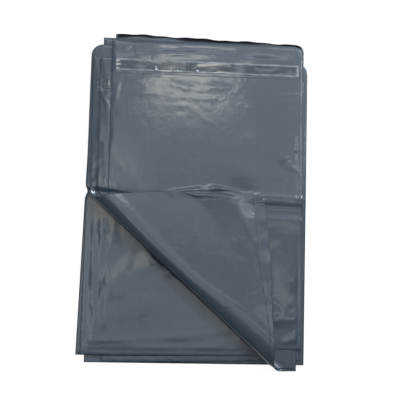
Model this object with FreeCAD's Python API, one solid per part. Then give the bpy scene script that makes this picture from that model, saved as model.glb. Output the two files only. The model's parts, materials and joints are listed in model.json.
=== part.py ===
import FreeCAD, Part
import math
import os

# A loose pack of twelve flat polythene mailing bags, lying front side up with every lip open.
# The near left corner of the four top bags is folded over together, in one soft diagonal roll.
#
# Each bag is two films sealed together along both sides and the bottom. The back film is longer
# and makes the lip, which carries a band of adhesive under a wider release liner. The front film
# stands slightly off the back film between the seals and is open at the mouth.
#
# Millimetres. +Z is up, +Y points to the lips, and the origin is the centre of the bottom bag's
# underside. Bag 01 is the bottom one and bag 12 the top one.

# One bag
BAG_WIDTH = 250.0
BODY_LENGTH = 350.0  # mouth to bottom edge
LIP_LENGTH = 45.0  # mouth to the lip's free edge
FILM = 0.06  # thickness of one film
SEAL_WIDTH = 6.0  # welded margin along both sides and the bottom
POCKET_RISE = 0.2  # the front film's height off the back film, inside the seals
POCKET_RAMP = 4.0  # plan width of the slope from a seal up to the pocket
LINER_WIDTH = 16.0
LINER_FILM = 0.05
LINER_TO_EDGE = 26.0  # the lip's free edge to the liner
ADHESIVE_WIDTH = 12.0
ADHESIVE_FILM = 0.1
STRIP_INSET = 5.0  # each side edge to the ends of the liner and the adhesive

# The pack: one row for each bag from the bottom up, with its centre in X and Y and its turn in
# degrees, anticlockwise from above
BAG_PITCH = 0.7  # rise from one bag to the next
FLAT_BAGS = [
    (0.0, 0.0, -0.6),
    (-7.6, 7.2, -1.5),
    (21.5, 26.5, -1.2),
    (27.0, 0.5, -0.9),
    (8.0, 20.0, -0.6),
    (17.5, 3.0, 0.5),
    (11.5, 10.0, 0.2),
    (-6.0, 10.5, -0.3),
]
FOLDED_BAGS = [
    (-1.0, -4.5, 0.6),
    (14.5, -7.5, -0.4),
    (7.7, -5.8, 0.3),
    (21.5, 18.7, 0.0),
]

# The folded corner
FOLD_X, FOLD_Y = 0.0, -90.8  # a point that the roll's axis passes over
FOLD_SLANT = 42.2  # the roll runs this many degrees below +X
ROLL_RADIUS = 7.0  # inside radius, above the top bag's front film
ROLL_SPREAD = 8.0  # how much wider the roll's upper, inner quarter is than a round one
CORNER_CLEARANCE = 0.35  # the lowest folded film to the top bag's front film
FOLD_STATIONS = 12  # spans of each rolled film round the roll
LENGTH_STEPS = 90  # chords that a rolled film's length is measured with

BAG_LENGTH = BODY_LENGTH + LIP_LENGTH
MOUTH_Y = BAG_LENGTH / 2 - LIP_LENGTH
BAG_HEIGHT = 2 * FILM + POCKET_RISE
BAG_COUNT = len(FLAT_BAGS) + len(FOLDED_BAGS)
TOP_BAG = BAG_COUNT
TOP_FACE = (BAG_COUNT - 1) * BAG_PITCH + BAG_HEIGHT
ROLL_AXIS_HEIGHT = TOP_FACE + ROLL_RADIUS
LARGE = 4 * BAG_LENGTH  # reach of the cutting blocks

Z_AXIS = FreeCAD.Vector(0, 0, 1)


def block(x, y, z):
    """A box between two limits on each axis, each given as a (low, high) pair."""
    corner = FreeCAD.Vector(x[0], y[0], z[0])
    return Part.makeBox(x[1] - x[0], y[1] - y[0], z[1] - z[0], corner)


def tray(base, rise, inset, low):
    """A shallow block whose sides slope in: base is its (x, y) limits at height low."""
    loops = []
    for step, height in ((0.0, low), (inset, low + rise)):
        (left, right), (near, far) = base
        corners = [
            FreeCAD.Vector(left + step, near + step, height),
            FreeCAD.Vector(right - step, near + step, height),
            FreeCAD.Vector(right - step, far - step, height),
            FreeCAD.Vector(left + step, far - step, height),
        ]
        loops.append(Part.makePolygon(corners + corners[:1]))
    return Part.makeLoft(loops, True, True)


# One bag in its own frame: centred in X and Y, with the back film's underside at z = 0


def across():
    """The bag's limits in X."""
    return -BAG_WIDTH / 2, BAG_WIDTH / 2


def back_film():
    """The long film, from the bottom edge to the mouth and on to the lip's free edge."""
    return block(across(), (-BAG_LENGTH / 2, BAG_LENGTH / 2), (0, FILM))


def front_film():
    """The short film: a welded margin on three sides, and a pocket that is open at the mouth."""
    margin = block(across(), (-BAG_LENGTH / 2, MOUTH_Y), (FILM, 2 * FILM))
    seal = SEAL_WIDTH
    pocket = (
        (-BAG_WIDTH / 2 + seal, BAG_WIDTH / 2 - seal),
        (-BAG_LENGTH / 2 + seal, BAG_LENGTH / 2),
    )
    raised = tray(pocket, POCKET_RISE, POCKET_RAMP, 2 * FILM)
    hollow = tray(pocket, POCKET_RISE, POCKET_RAMP, FILM)
    past_mouth = block((-LARGE, LARGE), (MOUTH_Y, LARGE), (-LARGE, LARGE))
    return margin.fuse(raised).cut(hollow).cut(past_mouth).removeSplitter()


def strip(width, low, thickness):
    """A band across the lip, from inset to inset, centred on the liner's middle line."""
    end = BAG_WIDTH / 2 - STRIP_INSET
    middle = BAG_LENGTH / 2 - LINER_TO_EDGE - LINER_WIDTH / 2
    return block(
        (-end, end), (middle - width / 2, middle + width / 2), (low, low + thickness)
    )


def adhesive():
    """The band of pressure-sensitive adhesive on the lip."""
    return strip(ADHESIVE_WIDTH, FILM, ADHESIVE_FILM)


def liner():
    """The release liner, wider than the adhesive so that its edges can be picked up."""
    return strip(LINER_WIDTH, FILM + ADHESIVE_FILM, LINER_FILM)


# The pack


class Bag:
    """A bag's place in the pack."""

    def __init__(self, number, x, y, turn):
        self.number = number
        self.level = (number - 1) * BAG_PITCH
        base = FreeCAD.Vector(x, y, self.level)
        self.placement = FreeCAD.Placement(base, FreeCAD.Rotation(Z_AXIS, turn))

    def laid(self, shape):
        """A shape of one bag, moved to this bag's place in the pack."""
        moved = shape.copy()
        moved.Placement = self.placement
        return moved

    def node(self, piece):
        return f"bag_{self.number:02d}_{piece}"


# The fold's own frame has X across the roll, pointing out of the pack over the folded edge, and
# Y along the roll. Films leave the flat at x = 0 and are rolled up round an axis above that line.
# The roll is slack: round below and outside, and spread towards the pack in its upper half.

FOLD_FRAME = FreeCAD.Placement(
    FreeCAD.Vector(FOLD_X, FOLD_Y, 0), FreeCAD.Rotation(Z_AXIS, -90 - FOLD_SLANT)
)


def outside_fold(start):
    """A block that covers everything further than start outside the fold line."""
    reach = block((start, start + LARGE), (-LARGE, LARGE), (-LARGE, LARGE))
    reach.Placement = FOLD_FRAME
    return reach


def corner_outline(bag):
    """The folded corner's point and its two edges' directions, in the fold's frame."""
    to_fold = FOLD_FRAME.inverse().multiply(bag.placement)
    half_width, half_length = BAG_WIDTH / 2, BAG_LENGTH / 2
    point = to_fold.multVec(FreeCAD.Vector(-half_width, -half_length, 0))
    up_side = to_fold.Rotation.multVec(FreeCAD.Vector(0, 1, 0))
    along_bottom = to_fold.Rotation.multVec(FreeCAD.Vector(1, 0, 0))
    return point, up_side, along_bottom


def neutral_radius(bag):
    """The roll's radius at the face where the bag's two films meet."""
    return ROLL_AXIS_HEIGHT - bag.level - FILM


def roll_point(radius, angle):
    """Where a film at this radius is once it has turned by angle, as x and z."""
    x = radius * math.sin(angle)
    if angle > math.pi / 2:
        x -= ROLL_SPREAD * (1 - max(math.sin(angle), 0.0))
    return x, ROLL_AXIS_HEIGHT - radius * math.cos(angle)


def rolled_length(bag, angle):
    """How much of the bag's length goes into the roll up to an angle."""
    radius = neutral_radius(bag)
    line = [
        roll_point(radius, angle * step / LENGTH_STEPS)
        for step in range(LENGTH_STEPS + 1)
    ]
    return sum(math.dist(start, end) for start, end in zip(line, line[1:]))


def wrap_angle(bags):
    """How far the films turn: half a turn, and on until the longest corner comes down to rest."""
    slopes = []
    for bag in bags:
        inner = ROLL_AXIS_HEIGHT - bag.level - BAG_HEIGHT
        reach = corner_outline(bag)[0].x - rolled_length(bag, math.pi)
        slopes.append((ROLL_RADIUS + inner - CORNER_CLEARANCE) / reach)
    return math.pi + math.asin(min(slopes))


def folded_corner(bag, films, wrap):
    """The flat corner beyond the roll, turned over onto the pack."""
    used = rolled_length(bag, wrap)
    pieces = []
    for film in films:
        piece = bag.laid(film).common(outside_fold(used))
        piece.Placement = FOLD_FRAME.inverse().multiply(piece.Placement)
        piece.translate(FreeCAD.Vector(-used, 0, 0))
        axis_point = FreeCAD.Vector(0, 0, ROLL_AXIS_HEIGHT)
        piece.rotate(axis_point, FreeCAD.Vector(0, -1, 0), math.degrees(wrap))
        piece.translate(FreeCAD.Vector(-ROLL_SPREAD, 0, 0))
        piece.Placement = FOLD_FRAME.multiply(piece.Placement)
        pieces.append(piece)
    return Part.makeCompound(pieces)


def rolled_film(bag, low, wrap):
    """The stretch of one film that goes round the roll; low is its underside in the flat bag."""
    point, up_side, along_bottom = corner_outline(bag)
    outer = ROLL_AXIS_HEIGHT - bag.level - low
    sections = []
    for station in range(FOLD_STATIONS + 1):
        angle = wrap * station / FOLD_STATIONS
        from_point = rolled_length(bag, angle) - point.x
        corners = []
        for edge, radius in (
            (up_side, outer),
            (along_bottom, outer),
            (along_bottom, outer - FILM),
            (up_side, outer - FILM),
        ):
            x, z = roll_point(radius, angle)
            y = point.y + edge.y * from_point / edge.x
            corners.append(FreeCAD.Vector(x, y, z))
        sections.append(Part.makePolygon(corners + corners[:1]))
    solid = Part.makeLoft(sections, True, False)
    solid.Placement = FOLD_FRAME
    return solid


def save(name, shape):
    """Writes one node, after checking that each of its solids is sound."""
    for solid in shape.Solids:
        if not solid.isValid() or solid.Volume <= 0:
            raise ValueError(f"{name} has an unsound solid")
    shape.exportStep(f"parts/{name}.step")


def save_strips(bag):
    save(bag.node("adhesive"), bag.laid(adhesive()))
    save(bag.node("liner"), bag.laid(liner()))


def save_flat_bag(bag):
    save(bag.node("back_film"), bag.laid(back_film()))
    save(bag.node("front_film"), bag.laid(front_film()))
    save_strips(bag)


def save_folded_bag(bag, wrap):
    """The same bag with its corner folded over: both films in three stretches."""
    back, front = back_film(), front_film()
    past_fold = outside_fold(0.0)
    flat_back = bag.laid(back).cut(past_fold)
    if bag.number == TOP_BAG:
        lip = bag.laid(block(across(), (MOUTH_Y, LARGE), (-LARGE, LARGE)))
        save(bag.node("lip"), flat_back.common(lip))
        flat_back = flat_back.cut(lip)
    save(bag.node("back_film"), flat_back)
    save(bag.node("front_film"), bag.laid(front).cut(past_fold))
    save_strips(bag)
    save(bag.node("corner"), folded_corner(bag, (back, front), wrap))
    rolls = [rolled_film(bag, low, wrap) for low in (0.0, FILM + POCKET_RISE)]
    save(bag.node("roll"), Part.makeCompound(rolls))


def pack():
    """Every bag's place, from the bottom up."""
    rows = FLAT_BAGS + FOLDED_BAGS
    return [Bag(number, *row) for number, row in enumerate(rows, 1)]


def main():
    os.makedirs("parts", exist_ok=True)
    bags = pack()
    flat, folded = bags[: len(FLAT_BAGS)], bags[len(FLAT_BAGS) :]
    wrap = wrap_angle(folded)
    for bag in flat:
        save_flat_bag(bag)
    for bag in folded:
        save_folded_bag(bag, wrap)
    print(f"{BAG_COUNT} bags, corner turned over by {math.degrees(wrap):.2f} degrees")
    print(f"roll axis {ROLL_AXIS_HEIGHT:.2f} mm up, top face {TOP_FACE:.2f} mm up")


if __name__ == "__main__":
    main()
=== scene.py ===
"""A loose pack of grey polythene mailing bags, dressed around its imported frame.

Each bag is two blown films welded together along both sides and the bottom. The back film runs on
past the mouth as a lip with a band of adhesive under a glossy release liner. Twelve bags lie fanned
on each other, creased across the middle, and the near left corner of the four upper ones is folded
over in one soft roll.

Shapes are worked out in millimetres and turned to metres where a mesh is made. A bag's own frame has
X across the bag and Y towards the lip. The fold's own frame has u across the roll, pointing out of
the pack, and v along the roll.
"""

import json
import logging
import math
from dataclasses import dataclass, field
from enum import Enum
from typing import ClassVar

import bpy
import numpy as np
from mathutils import Matrix, Vector


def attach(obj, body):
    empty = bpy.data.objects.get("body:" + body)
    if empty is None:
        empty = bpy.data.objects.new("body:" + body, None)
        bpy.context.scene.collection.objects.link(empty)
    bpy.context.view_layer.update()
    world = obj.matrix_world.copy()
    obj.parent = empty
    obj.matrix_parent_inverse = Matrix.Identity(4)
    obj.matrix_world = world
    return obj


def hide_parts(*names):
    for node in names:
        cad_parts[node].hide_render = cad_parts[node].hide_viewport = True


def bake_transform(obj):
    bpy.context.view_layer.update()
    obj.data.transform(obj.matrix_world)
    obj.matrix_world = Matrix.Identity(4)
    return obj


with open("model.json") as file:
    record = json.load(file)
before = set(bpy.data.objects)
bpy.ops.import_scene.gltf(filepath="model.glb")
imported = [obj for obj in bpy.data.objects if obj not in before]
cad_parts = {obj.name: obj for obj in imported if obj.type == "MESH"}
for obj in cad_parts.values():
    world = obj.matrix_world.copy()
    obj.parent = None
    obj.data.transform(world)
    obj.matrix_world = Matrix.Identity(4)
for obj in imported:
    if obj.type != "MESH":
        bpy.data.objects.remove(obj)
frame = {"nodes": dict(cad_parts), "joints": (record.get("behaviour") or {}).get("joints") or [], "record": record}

LOG = logging.getLogger("mailing_bags")
MM = 0.001

Array = np.ndarray
Arrays = tuple[Array, Array]  # the X and Y of the same points, or their u and v
Pair = tuple[float, float]
Triple = tuple[float, float, float]


# --------------------------------------------------------------------------------------------
# Sizes, all in millimetres
# --------------------------------------------------------------------------------------------


@dataclass(frozen=True)
class BagSize:
    """One bag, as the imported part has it."""

    width: float = 250.0
    body: float = 350.0
    lip: float = 45.0
    film: float = 0.06
    seal: float = 6.0
    pocket: float = 0.2
    ramp: float = 4.0
    liner_width: float = 16.0
    liner_film: float = 0.05
    liner_to_edge: float = 26.0
    adhesive_width: float = 12.0
    adhesive_film: float = 0.1
    strip_inset: float = 5.0
    pitch: float = 0.7

    @property
    def length(self) -> float:
        """The back film's length, bottom edge to the lip's free edge."""
        return self.body + self.lip

    @property
    def mouth(self) -> float:
        """The mouth's Y in the bag's frame."""
        return self.length / 2 - self.lip

    @property
    def strip_middle(self) -> float:
        """The Y of the liner's and the adhesive's middle line in the bag's frame."""
        return self.length / 2 - self.liner_to_edge - self.liner_width / 2

    @property
    def thickness(self) -> float:
        """The closed bag's height: two films and the pocket's rise."""
        return 2 * self.film + self.pocket


class Layer(Enum):
    """The two films of a bag."""

    BACK = "back"
    FRONT = "front"


class LipCorner(Enum):
    """The two free corners of a bag's lip."""

    LEFT = -1
    RIGHT = 1


@dataclass(frozen=True)
class Ridge:
    """A soft wrinkle: a rise along a line that tapers off at both ends.

    left and right are the widths of its two flanks, as seen from start looking to end, so a short
    one makes the crest lean over like a crease.
    """

    start: Pair
    end: Pair
    height: float
    left: float
    right: float
    taper: float = 0.25

    def rise(self, x: Array, y: Array) -> Array:
        """The wrinkle's height over each point of the plan.

        Args:
            x: The points' X.
            y: The points' Y.

        Returns:
            A height in millimetres for each point.
        """
        dx, dy = self.end[0] - self.start[0], self.end[1] - self.start[1]
        length = math.hypot(dx, dy)
        ox, oy = x - self.start[0], y - self.start[1]
        along = (ox * dx + oy * dy) / length**2
        off = (oy * dx - ox * dy) / length
        flank = np.where(off > 0, self.left, self.right)
        ends = smooth(along / self.taper) * smooth((1 - along) / self.taper)
        return self.height * ends * np.exp(-((off / flank) ** 2))


@dataclass(frozen=True)
class Swell:
    """A broad rise where air is caught under a film."""

    centre: Pair
    radii: Pair
    height: float
    turn: float = 0.0

    def rise(self, x: Array, y: Array) -> Array:
        """The swell's height over each point of the plan, in millimetres.

        Args:
            x: The points' X.
            y: The points' Y.

        Returns:
            A height in millimetres for each point.
        """
        own_x, own_y = in_frame(x, y, self.centre, math.radians(self.turn))
        p, q = own_x / self.radii[0], own_y / self.radii[1]
        return self.height * np.exp(-(p * p + q * q))


@dataclass(frozen=True)
class Facets:
    """A lifted patch of flat facets, as film makes where it is bent without stretching.

    Each facet is the X and Y of a point on its foot, the way it rises in degrees from +X, and its
    slope. The patch is the lowest of them, with its creases rounded.
    """

    planes: tuple[tuple[float, float, float, float], ...]
    rounding: float = 0.35
    FARTHEST: ClassVar[float] = 60.0  # in roundings; keeps the exponential finite

    def rise(self, x: Array, y: Array) -> Array:
        """The patch's height over each point of the plan, in millimetres.

        Args:
            x: The points' X.
            y: The points' Y.

        Returns:
            A height in millimetres for each point.
        """
        total = np.zeros_like(x)
        for foot_x, foot_y, way, slope in self.planes:
            c, s = math.cos(math.radians(way)), math.sin(math.radians(way))
            height = slope * (c * (x - foot_x) + s * (y - foot_y))
            far = np.clip(-height / self.rounding, -self.FARTHEST, self.FARTHEST)
            total = total + np.exp(far)
        return self.rounding * np.log1p(1 / total)


Wrinkle = Ridge | Swell | Facets


def total_rise(wrinkles: list[Wrinkle], x: Array, y: Array) -> Array:
    """What wrinkles add up to over each point of the plan, in millimetres.

    Args:
        wrinkles: The wrinkles.
        x: The points' X.
        y: The points' Y.

    Returns:
        A height in millimetres for each point.
    """
    total = np.zeros_like(x)
    for wrinkle in wrinkles:
        total = total + wrinkle.rise(x, y)
    return total


@dataclass(frozen=True)
class CrossCrease:
    """The crease across the pack where it was once folded in half.

    It runs nearly across the bags. On the right it is a crest with a sharp valley on its near side
    and a soft second crest past that. On the left it is a wedge that narrows to nothing, and in the
    middle it is nearly pressed out. Distances are in millimetres towards the lips.
    """

    middle: float = 11.0
    slope: float = -0.043
    right_from: float = 66.0
    left_from: float = -62.0
    right_fade: float = 30.0  # how far the right part takes to come up, past right_from
    left_fade: float = 55.0
    middle_share: float = 0.12  # what is left of the right section in the middle
    narrowing: float = 1.2  # how much narrower the wedge gets before it is gone
    pinch: float = 3.0  # how far the left edges are drawn in
    pinch_from: float = -85.0
    pinch_fade: float = 50.0
    pinch_reach: float = 5.0
    # (distance, height) along the crease's section, from the near side to the far side
    right_section: tuple[Pair, ...] = (
        (-44.0, 0.0), (-34.0, 0.2), (-24.0, 0.75), (-21.0, 0.9), (-18.5, 0.78), (-16.0, 0.5),
        (-13.8, 0.35), (-10.6, 0.34), (-8.6, 0.36), (-7.3, 0.55), (-6.2, 0.62), (-4.9, 0.55),
        (-3.7, 0.62), (-2.4, 0.95), (-1.2, 1.4), (0.1, 1.8), (1.8, 2.15), (3.9, 2.45),
        (6.2, 2.7), (8.0, 2.75), (9.8, 2.47), (11.2, 2.12), (13.2, 1.8), (20.0, 1.4),
        (40.0, 0.7), (64.0, 0.0),
    )
    left_section: tuple[Pair, ...] = (
        (-20.0, 0.0), (-3.0, 0.1), (-0.4, -0.5), (1.6, 0.6), (4.5, 2.2), (7.5, 2.95),
        (11.0, 3.05), (16.0, 2.95), (21.0, 2.7), (27.0, 2.1), (36.0, 1.2), (48.0, 0.45),
        (64.0, 0.0),
    )

    def off(self, x: Array, y: Array) -> Array:
        """How far each point is on the lips' side of the valley's line."""
        return y - self.middle - self.slope * x

    @staticmethod
    def section(pairs: tuple[Pair, ...], off: Array) -> Array:
        """The height of a section at each distance, on a smooth curve through its points.

        Args:
            pairs: The section's points, as distance and height.
            off: Distances from the valley's line.

        Returns:
            A height for each distance.
        """
        at, height = np.array(pairs).T
        slope = np.gradient(height, at)
        slope[[0, -1]] = 0.0
        place = np.clip(np.searchsorted(at, off, side="right") - 1, 0, len(at) - 2)
        gap = at[place + 1] - at[place]
        t = np.clip((off - at[place]) / gap, 0.0, 1.0)
        bend = slope[place] * t * (1 - t) ** 2 - slope[place + 1] * t * t * (1 - t)
        return height[place] + (height[place + 1] - height[place]) * smooth(t) + gap * bend

    def rise(self, x: Array, y: Array) -> Array:
        """The whole pack's rise over each point of the plan, in millimetres.

        Args:
            x: The points' X.
            y: The points' Y.

        Returns:
            A height in millimetres for each point.
        """
        off = self.off(x, y)
        right = smooth((x - self.right_from) / self.right_fade)
        left = smooth((self.left_from - x) / self.left_fade)
        narrowed = off * (1 + self.narrowing * (1 - left))
        share = right + self.middle_share * (1 - right - left)
        wedge = left * self.section(self.left_section, narrowed)
        return share * self.section(self.right_section, off) + wedge

    def pinched(self, x: Array, y: Array) -> Array:
        """X with the left edges drawn in where the crease meets them.

        Args:
            x: The points' X.
            y: The points' Y.

        Returns:
            The moved X.
        """
        near_edge = smooth((self.pinch_from - x) / self.pinch_fade)
        across = self.off(x, y) / self.pinch_reach
        return x + self.pinch * near_edge * np.exp(-(across**2))


# --------------------------------------------------------------------------------------------
# Small helpers
# --------------------------------------------------------------------------------------------


def smooth(t: Array) -> Array:
    """0 below 0, 1 above 1, and a smooth step between."""
    t = np.clip(t, 0.0, 1.0)
    return t * t * (3 - 2 * t)


def spaced(low: float, high: float, step: float) -> Array:
    """Values from low to high, both included, no further apart than step."""
    return np.linspace(low, high, max(2, math.ceil((high - low) / step) + 1))


def linear_rgb(hex_colour: str) -> tuple[float, float, float, float]:
    """An sRGB hex colour as the linear colour that a shader takes.

    Args:
        hex_colour: Six hex digits with a leading #.

    Returns:
        Red, green, blue and alpha.
    """
    parts = [int(hex_colour[i : i + 2], 16) / 255 for i in (1, 3, 5)]
    red, green, blue = (p / 12.92 if p <= 0.04045 else ((p + 0.055) / 1.055) ** 2.4 for p in parts)
    return red, green, blue, 1.0


def in_frame(x: Array, y: Array, centre: Pair, turn: float) -> Arrays:
    """Points of the plan as they lie in a frame of its own, at centre and turned in radians.

    Args:
        x: The points' X.
        y: The points' Y.
        centre: The frame's origin.
        turn: How far it is turned, in radians.

    Returns:
        X and Y in that frame.
    """
    c, s = math.cos(turn), math.sin(turn)
    ox, oy = x - centre[0], y - centre[1]
    return c * ox + s * oy, c * oy - s * ox


def linked(name: str, data: bpy.types.ID) -> bpy.types.Object:
    """A new object made of this data, linked to the scene."""
    made = bpy.data.objects.new(name, data)
    bpy.context.scene.collection.objects.link(made)
    return made


def closed_film(name: str, upper: Array, lower: Array, marks: dict[str, Array]) -> bpy.types.Object:
    """A thin closed piece from its two faces, each a grid of points.

    Args:
        name: The piece's name.
        upper: Points of the upper face, rows by columns by 3, in millimetres. Rows run along Y or
            away from the roll, and columns along X, so that its quads face up.
        lower: The lower face's points, in the same order.
        marks: Named values for each grid point, kept as attributes for the materials.

    Returns:
        The object, linked to the scene, with its rim flat shaded and its faces smooth.
    """
    rows, columns = upper.shape[:2]
    count = rows * columns
    index = np.arange(count).reshape(rows, columns)
    a, b = index[:-1, :-1].ravel(), index[:-1, 1:].ravel()
    c, d = index[1:, 1:].ravel(), index[1:, :-1].ravel()
    top = np.stack([a, b, c, d], 1)
    bottom = np.stack([a, d, c, b], 1) + count
    rim = np.concatenate([index[0, :-1], index[:-1, -1], index[-1, :0:-1], index[:0:-1, 0]])
    following = np.roll(rim, -1)
    wall = np.stack([rim, rim + count, following + count, following], 1)
    quads = np.concatenate([top, bottom, wall])

    mesh = bpy.data.meshes.new(name)
    points = np.concatenate([upper.reshape(-1, 3), lower.reshape(-1, 3)]) * MM
    mesh.vertices.add(len(points))
    mesh.vertices.foreach_set("co", points.astype(np.float32).ravel())
    mesh.loops.add(quads.size)
    mesh.loops.foreach_set("vertex_index", quads.astype(np.int32).ravel())
    mesh.polygons.add(len(quads))
    mesh.polygons.foreach_set("loop_start", np.arange(0, quads.size, 4, dtype=np.int32))
    flat = np.arange(len(quads)) >= len(top) + len(bottom)
    mesh.update(calc_edges=True)
    mesh.attributes.new("sharp_face", "BOOLEAN", "FACE").data.foreach_set("value", flat)
    for mark, values in marks.items():
        layer = mesh.attributes.new(mark, "FLOAT", "POINT")
        both = np.concatenate([values.ravel(), values.ravel()])
        layer.data.foreach_set("value", both.astype(np.float32))
    return linked(name, mesh)


# --------------------------------------------------------------------------------------------
# The pack's relief: how wrinkles, trapped air and the crease lift its films
# --------------------------------------------------------------------------------------------


@dataclass(frozen=True)
class Footprint:
    """The outline that one bag covers on the pack, less its folded-off corner."""

    centre: Pair
    turn: float
    half: Pair
    fold: "FoldLine | None" = None
    ramp: float = 14.0  # how far past an edge the films above take to come down

    def cover(self, x: Array, y: Array) -> Array:
        """1 over the bag, 0 clear of it, and a ramp between.

        Args:
            x: The points' X.
            y: The points' Y.

        Returns:
            A share for each point.
        """
        own_x, own_y = in_frame(x, y, self.centre, self.turn)
        past = np.maximum(np.abs(own_x) - self.half[0], np.abs(own_y) - self.half[1])
        if self.fold is not None:
            past = np.maximum(past, self.fold.to_fold(x, y)[0])
        return 1 - smooth(past / self.ramp)


@dataclass(frozen=True)
class StreakZone:
    """A part of one bag where the film is drawn into many fine streaks."""

    bag: int
    x: Pair
    y: Pair
    count: int
    length: Pair
    flank: Pair
    height: float
    angle: float  # degrees from +X
    scatter: float = 4.0
    height_share: Pair = (0.35, 1.0)  # the lowest and the highest streak, over height
    taper: float = 0.4

    def ridges(self, draw: np.random.Generator) -> list[Ridge]:
        """Draws the zone's streaks, which nobody would place by hand.

        Args:
            draw: The source of random numbers.

        Returns:
            The streaks, as narrow ridges.
        """
        made = []
        for _ in range(self.count):
            angle = math.radians(self.angle + draw.normal(0.0, self.scatter))
            x, y = draw.uniform(*self.x), draw.uniform(*self.y)
            half = draw.uniform(*self.length) / 2
            dx, dy = half * math.cos(angle), half * math.sin(angle)
            height = self.height * draw.uniform(*self.height_share)
            left, right = draw.uniform(*self.flank, 2)
            start, end = (x - dx, y - dy), (x + dx, y + dy)
            made.append(Ridge(start, end, height, left, right, self.taper))
        return made


@dataclass
class Relief:
    """The height of each bag's films: the bags below them, and their wrinkles, air and crease.

    Every bag adds a rise of its own, never far below zero, to all that lies on it. So films keep
    their order however they wrinkle, and a wrinkle in one shows through those above it. Past the
    edge of a bag, the films above it sag by a share of its height. The roll presses the wrinkles
    under it flat, so a corner can be turned back over them.
    """

    bags: int
    pitch: float
    crease: CrossCrease
    wrinkles: dict[int, tuple[Wrinkle, ...]]
    zones: tuple[StreakZone, ...] = ()
    sag: float = 0.1
    pressed: float = 0.9  # the share of a wrinkle's height that is lost under the roll
    pressed_reach: float = 12.0
    roll: "FoldLine | None" = None
    seed: int = 5
    footprints: dict[int, Footprint] = field(default_factory=dict)
    drawn: dict[int, list[Wrinkle]] = field(default_factory=dict)

    def __post_init__(self) -> None:
        """Puts every bag's placed wrinkles and drawn streaks together."""
        draw = np.random.default_rng(self.seed)
        for bag in range(1, self.bags + 1):
            self.drawn[bag] = list(self.wrinkles.get(bag, ()))
        for zone in self.zones:
            self.drawn[zone.bag] += zone.ridges(draw)

    def own(self, bag: int, x: Array, y: Array) -> Array:
        """What one bag's wrinkles add to its front film and to all that lies on it.

        Args:
            bag: The bag's number.
            x: The points' X.
            y: The points' Y.

        Returns:
            A height in millimetres for each point.
        """
        total = total_rise(self.drawn[bag], x, y)
        if self.roll is not None:
            off = self.roll.to_fold(x, y)[0] / self.pressed_reach
            total = total * (1 - self.pressed * np.exp(-off * off))
        return total + self.crease.rise(x, y) / self.bags

    def under(self, bag: int, x: Array, y: Array) -> Array:
        """How high the bags below this one hold it, wrinkles and all.

        Args:
            bag: The bag's number.
            x: The points' X.
            y: The points' Y.

        Returns:
            A height in millimetres for each point.
        """
        total = np.zeros_like(x)
        for lower in range(1, bag):
            sunk = self.sag * (1 - self.footprints[lower].cover(x, y))
            total = total + self.pitch * (1 - sunk) + self.own(lower, x, y)
        return total


# --------------------------------------------------------------------------------------------
# Materials
# --------------------------------------------------------------------------------------------


def connect(tree: bpy.types.NodeTree, node: bpy.types.Node, links: dict) -> None:
    """Sets and links a node's inputs.

    Args:
        tree: The node tree.
        node: The node.
        links: Input name or index to a value, to a socket, or to a node for its first output.
    """
    for key, value in links.items():
        if isinstance(value, bpy.types.Node):
            value = next(socket for socket in value.outputs if socket.enabled)
        if isinstance(value, bpy.types.NodeSocket):
            tree.links.new(value, node.inputs[key])
        else:
            node.inputs[key].default_value = value


def add_node(
    tree: bpy.types.NodeTree, kind: str, links: dict | None = None, **settings
) -> bpy.types.Node:
    """Adds a node, sets it up and links its inputs.

    Args:
        tree: The node tree.
        kind: The node's type, such as ShaderNodeMix.
        links: Its inputs, as connect takes them.
        **settings: The node's own properties.

    Returns:
        The new node.
    """
    node = tree.nodes.new(kind)
    for name, value in settings.items():
        setattr(node, name, value)
    connect(tree, node, links or {})
    return node


@dataclass(frozen=True)
class Finish:
    """What the pack's finishes share: one Principled shader, on Object coordinates."""

    name: str = ""
    ior: float = 1.5

    def inputs(self, tree: bpy.types.NodeTree, place: bpy.types.NodeSocket) -> dict:
        """Adds the finish's textures.

        Args:
            tree: The material's node tree.
            place: The Object coordinates.

        Returns:
            The shader's inputs by name, as connect takes them.
        """
        raise NotImplementedError

    def build(self) -> bpy.types.Material:
        """Builds the material.

        Returns:
            The material.
        """
        material = bpy.data.materials.new(self.name)
        material.use_nodes = True
        tree = material.node_tree
        place = add_node(tree, "ShaderNodeTexCoord").outputs["Object"]
        inputs = {"IOR": self.ior} | self.inputs(tree, place)
        connect(tree, tree.nodes["Principled BSDF"], inputs)
        return material


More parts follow.
